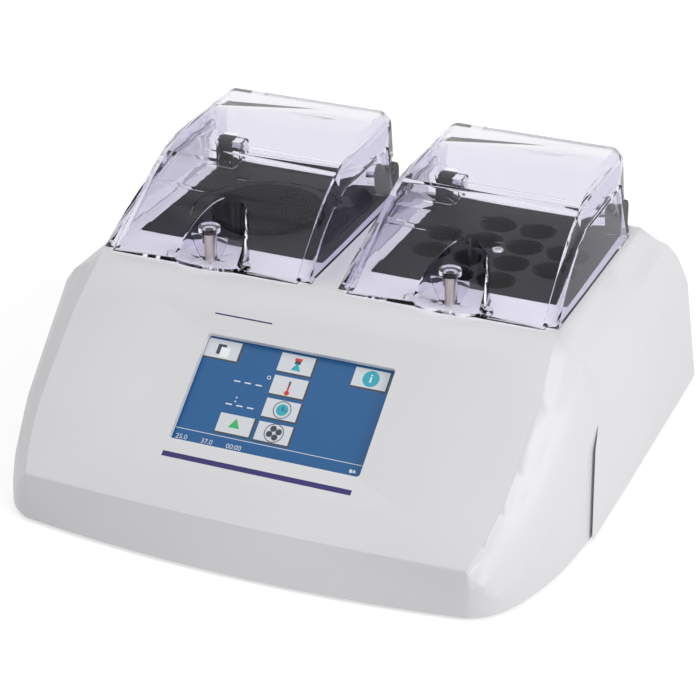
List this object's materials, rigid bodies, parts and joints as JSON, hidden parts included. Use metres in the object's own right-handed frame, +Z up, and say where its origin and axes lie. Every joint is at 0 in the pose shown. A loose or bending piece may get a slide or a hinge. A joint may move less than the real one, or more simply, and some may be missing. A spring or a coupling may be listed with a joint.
{
  "type": "dry bath incubator",
  "caption": "Bench dry bath with two covered bays, a vessel block, a fan-cooled plate and a sloping touch screen; clear covers hinge up and back.",
  "frame": {"origin": "below the middle of the object, on the surface its feet stand on", "axes": "+Z up, +Y to the back, +X to the right as the user faces the screen"},
  "size_m": [0.3452, 0.3325, 0.172],
  "materials": {
    "casing_white": "satin",
    "cover_clear": "polished",
    "plate_dark": "matt",
    "ear_dark": "matt",
    "foam_black": "open foam",
    "block_aluminium": "dark anodised",
    "steel": "plain",
    "sheet_steel": "zinc plated",
    "magnet": "plated",
    "rubber_black": "matt",
    "heater_orange": "silicone",
    "tray_grey": "rigid foam",
    "fan_black": "moulded",
    "screen_glass": "polished",
    "display_blue": "lit",
    "board_green": "solder mask",
    "inlet_black": "moulded",
    "contact_brass": "plated",
    "rocker_black": "moulded"
  },
  "bodies": {
    "base_unit": {"housing_shell": "casing_white", "base_plate": "sheet_steel", "base_screws": "steel", "rubber_feet": "rubber_black", "vessel_block": "block_aluminium", "warming_plate": "block_aluminium", "block_plate": "plate_dark", "plate_screw": "steel", "heater_mat": "heater_orange", "temperature_probe": "steel", "insulation_tray": "tray_grey", "tray_posts": "steel", "cooling_plate": "plate_dark", "filter_ring": "plate_dark", "filter_foam": "foam_black", "fan_duct": "fan_black", "fan_frame": "fan_black", "fan_screws": "steel", "latch_strikers": "sheet_steel", "left_hinge_ears": "ear_dark", "right_hinge_ears": "ear_dark", "left_hinge_pins": "steel", "right_hinge_pins": "steel", "screen_gasket": "rubber_black", "screen_glass": "screen_glass", "display_module": "display_blue", "display_bracket": "sheet_steel", "display_screws": "steel", "main_board": "board_green", "power_supply": "board_green", "board_spacers": "steel", "buzzer": "inlet_black", "rear_panel": "sheet_steel", "rear_panel_screws": "steel", "mains_inlet": "inlet_black", "inlet_contacts": "contact_brass", "switch_frame": "inlet_black", "data_socket": "steel"},
    "left_lid": {"left_cover": "cover_clear", "left_latch_magnet": "magnet"},
    "right_lid": {"right_cover": "cover_clear", "right_latch_magnet": "magnet"},
    "fan": {"fan_rotor": "fan_black"},
    "rocker": {"power_rocker": "rocker_black"},
    "fuse_tray": {"fuse_drawer": "inlet_black", "fuse": "screen_glass"}
  },
  "joints": [
    {"name": "left_lid_hinge", "type": "hinge", "parent": "base_unit", "child": "left_lid", "pos_m": [-0.075, 0.1108, 0.132], "axis": [-1, 0, 0], "range_deg": [0, 95]},
    {"name": "right_lid_hinge", "type": "hinge", "parent": "base_unit", "child": "right_lid", "pos_m": [0.075, 0.1108, 0.132], "axis": [-1, 0, 0], "range_deg": [0, 95]},
    {"name": "fan_spin", "type": "hinge", "parent": "base_unit", "child": "fan", "pos_m": [-0.075, 0.0508, 0.085], "axis": [0, 0, 1], "continuous": true},
    {"name": "rocker_tilt", "type": "hinge", "parent": "base_unit", "child": "rocker", "pos_m": [0.059, 0.13974, 0.05988], "axis": [-1, 0, 0], "range_deg": [0, 18]},
    {"name": "fuse_drawer_slide", "type": "slide", "parent": "base_unit", "child": "fuse_tray", "axis": [0, 0.9278, 0.3731], "range_m": [0, 0.018]}
  ]
}
